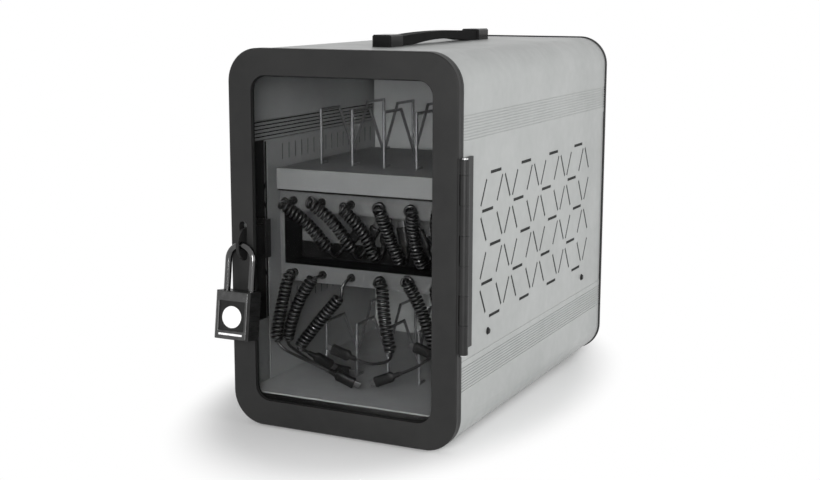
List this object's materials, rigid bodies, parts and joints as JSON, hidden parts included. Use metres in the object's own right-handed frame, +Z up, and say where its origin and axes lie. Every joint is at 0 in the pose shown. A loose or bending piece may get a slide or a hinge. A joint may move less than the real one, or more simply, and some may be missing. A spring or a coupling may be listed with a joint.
{
  "type": "device charging cabinet",
  "caption": "Lockable sheet-metal charging cabinet with a carrying handle, a smoked window door, tiered wire dividers and curly charging cords from a central charger bank.",
  "frame": {"origin": "centre of the bounding box's underside, in the plane the feet stand on", "axes": "+X to the right as seen from the front, +Y from the door to the rear panel, +Z up"},
  "size_m": [0.3321, 0.5936, 0.5001],
  "materials": {
    "shell_paint": "satin",
    "inside_paint": "satin",
    "door_paint": "satin",
    "rear_paint": "satin",
    "smoked_pane": "gloss",
    "black_rubber": "matte",
    "trim_black": "matte",
    "hinge_black": "satin",
    "wire_steel": "polished",
    "steel": "satin",
    "chrome": "polished",
    "cord_black": "matte",
    "plug_black": "matte",
    "handle_black": "matte",
    "box_grey": "matte"
  },
  "bodies": {
    "cabinet": {"back_partition": "inside_paint", "bank_housing": "inside_paint", "bottom_shell": "shell_paint", "charger_module": "box_grey", "feet": "black_rubber", "floor_tray": "inside_paint", "front_trim": "trim_black", "handle_front_cap": "trim_black", "handle_rear_cap": "trim_black", "handle_strap": "handle_black", "hinge_body_leaf": "hinge_black", "hinge_pin": "steel", "keeper": "hinge_black", "left_liner": "inside_paint", "left_side_panel": "shell_paint", "lock_rail": "hinge_black", "lower_cord_1": "cord_black", "lower_cord_2": "cord_black", "lower_cord_3": "cord_black", "lower_cord_4": "cord_black", "lower_cord_5": "cord_black", "lower_cord_6": "cord_black", "lower_divider_1": "wire_steel", "lower_divider_2": "wire_steel", "lower_divider_3": "wire_steel", "lower_divider_4": "wire_steel", "lower_divider_5": "wire_steel", "lower_grommets": "black_rubber", "lower_plugs": "plug_black", "mains_inlet": "trim_black", "power_supply": "box_grey", "rear_panel": "rear_paint", "rear_trim": "trim_black", "right_liner": "inside_paint", "right_side_panel": "shell_paint", "shelf_tray": "inside_paint", "side_screws": "steel", "switch_frame": "trim_black", "top_shell": "shell_paint", "upper_cord_1": "cord_black", "upper_cord_2": "cord_black", "upper_cord_3": "cord_black", "upper_cord_4": "cord_black", "upper_cord_5": "cord_black", "upper_cord_6": "cord_black", "upper_divider_1": "wire_steel", "upper_divider_2": "wire_steel", "upper_divider_3": "wire_steel", "upper_divider_4": "wire_steel", "upper_divider_5": "wire_steel", "upper_grommets": "black_rubber", "upper_plugs": "plug_black"},
    "door": {"door_frame": "door_paint", "pane_gasket": "black_rubber", "window_pane": "smoked_pane", "hinge_door_leaf": "hinge_black"},
    "latch": {"latch_slide": "hinge_black"},
    "shackle": {"padlock_shackle": "chrome"},
    "padlock": {"padlock_body": "hinge_black"},
    "rocker": {"power_switch": "trim_black"}
  },
  "joints": [
    {"name": "door_hinge", "type": "hinge", "parent": "cabinet", "child": "door", "pos_m": [0.16055, -0.25521, 0.245], "axis": [0, 0, 1], "range_deg": [0, 180]},
    {"name": "latch_lift", "type": "slide", "parent": "door", "child": "latch", "axis": [0, 0, 1], "range_m": [0, 0.008]},
    {"name": "shackle_swing", "type": "hinge", "parent": "latch", "child": "shackle", "pos_m": [-0.14305, -0.26541, 0.2378], "axis": [1, 0, 0], "range_deg": [-75, 0]},
    {"name": "padlock_drop", "type": "slide", "parent": "shackle", "child": "padlock", "axis": [0, -0.1392, -0.9903], "range_m": [0, 0.01]},
    {"name": "switch_rocker", "type": "hinge", "parent": "cabinet", "child": "rocker", "pos_m": [-0.01805, 0.28929, 0.074], "axis": [1, 0, 0], "range_deg": [-8, 8]}
  ]
}
